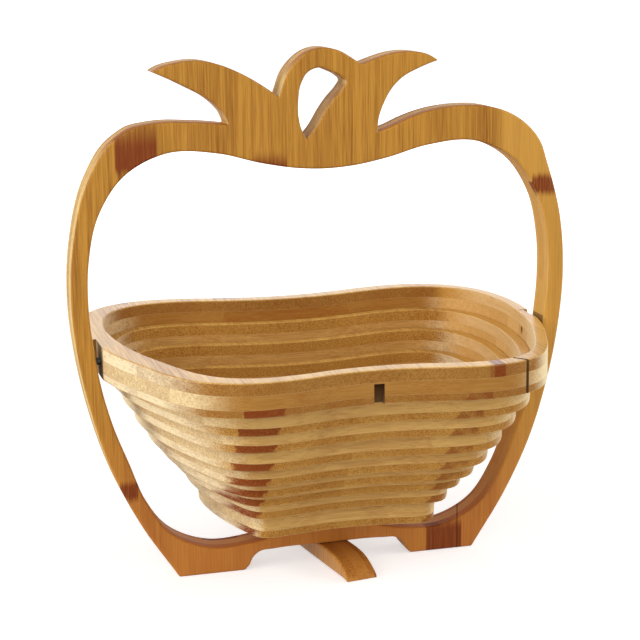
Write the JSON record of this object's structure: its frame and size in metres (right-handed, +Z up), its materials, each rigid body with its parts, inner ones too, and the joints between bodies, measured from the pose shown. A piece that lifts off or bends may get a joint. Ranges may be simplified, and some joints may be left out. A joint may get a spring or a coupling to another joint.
{
  "type": "collapsible fruit basket",
  "caption": "Collapsible apple-shaped fruit basket sawn from a bamboo board: a standing frame, a hinged rim ring, wedged hanging turns with a base plate and a swing-out foot.",
  "frame": {"origin": "on the floor under the middle of the overall box", "axes": "X across the apple, to the viewer's right from the front; Y toward the back; Z up. The front is toward minus Y."},
  "size_m": [0.2802, 0.2179, 0.2885],
  "materials": {
    "bamboo": "sanded and oiled, satin",
    "steel": "plain wire and screw steel"
  },
  "bodies": {
    "root": {"frame": "bamboo", "foot_screw": "steel"},
    "ring": {"ring": "bamboo", "pivot_pin_left": "steel", "pivot_pin_right": "steel"},
    "turn_1_body": {"turn_1": "bamboo"},
    "turn_2_body": {"turn_2": "bamboo"},
    "turn_3_body": {"turn_3": "bamboo"},
    "turn_4_body": {"turn_4": "bamboo"},
    "turn_5_body": {"turn_5": "bamboo"},
    "turn_6_body": {"turn_6": "bamboo"},
    "turn_7_body": {"turn_7": "bamboo"},
    "base_body": {"basket_base": "bamboo"},
    "foot_body": {"foot": "bamboo"}
  },
  "joints": [
    {"name": "ring_pivot", "type": "hinge", "parent": "root", "child": "ring", "pos_m": [0, 0, 0.1242], "axis": [1, 0, 0], "range_deg": [0, 90]},
    {"name": "drop_1", "type": "slide", "parent": "ring", "child": "turn_1_body", "axis": [0, 0, 1], "range_m": [0, 0.013]},
    {"name": "drop_2", "type": "slide", "parent": "turn_1_body", "child": "turn_2_body", "axis": [0, 0, 1], "range_m": [0, 0.01103]},
    {"name": "drop_3", "type": "slide", "parent": "turn_2_body", "child": "turn_3_body", "axis": [0, 0, 1], "range_m": [0, 0.01197]},
    {"name": "drop_4", "type": "slide", "parent": "turn_3_body", "child": "turn_4_body", "axis": [0, 0, 1], "range_m": [0, 0.01052]},
    {"name": "drop_5", "type": "slide", "parent": "turn_4_body", "child": "turn_5_body", "axis": [0, 0, 1], "range_m": [0, 0.00847]},
    {"name": "drop_6", "type": "slide", "parent": "turn_5_body", "child": "turn_6_body", "axis": [0, 0, 1], "range_m": [0, 0.00752]},
    {"name": "drop_7", "type": "slide", "parent": "turn_6_body", "child": "turn_7_body", "axis": [0, 0, 1], "range_m": [0, 0.00949]},
    {"name": "drop_base", "type": "slide", "parent": "turn_7_body", "child": "base_body", "axis": [0, 0, 1], "range_m": [0, 0.01351]},
    {"name": "foot_swivel", "type": "hinge", "parent": "root", "child": "foot_body", "pos_m": [0.0025, 0, 0], "axis": [0, 0, 1], "range_deg": [-60, 81.1]}
  ],
  "couplings": [
    {"joint": "drop_1", "follows": "ring_pivot", "m_per_rad": 0.0082735},
    {"joint": "drop_2", "follows": "ring_pivot", "m_per_rad": 0.0070216},
    {"joint": "drop_3", "follows": "ring_pivot", "m_per_rad": 0.0076203},
    {"joint": "drop_4", "follows": "ring_pivot", "m_per_rad": 0.006695},
    {"joint": "drop_5", "follows": "ring_pivot", "m_per_rad": 0.0053887},
    {"joint": "drop_6", "follows": "ring_pivot", "m_per_rad": 0.0047899},
    {"joint": "drop_7", "follows": "ring_pivot", "m_per_rad": 0.0060418},
    {"joint": "drop_base", "follows": "ring_pivot", "m_per_rad": 0.0086001}
  ]
}
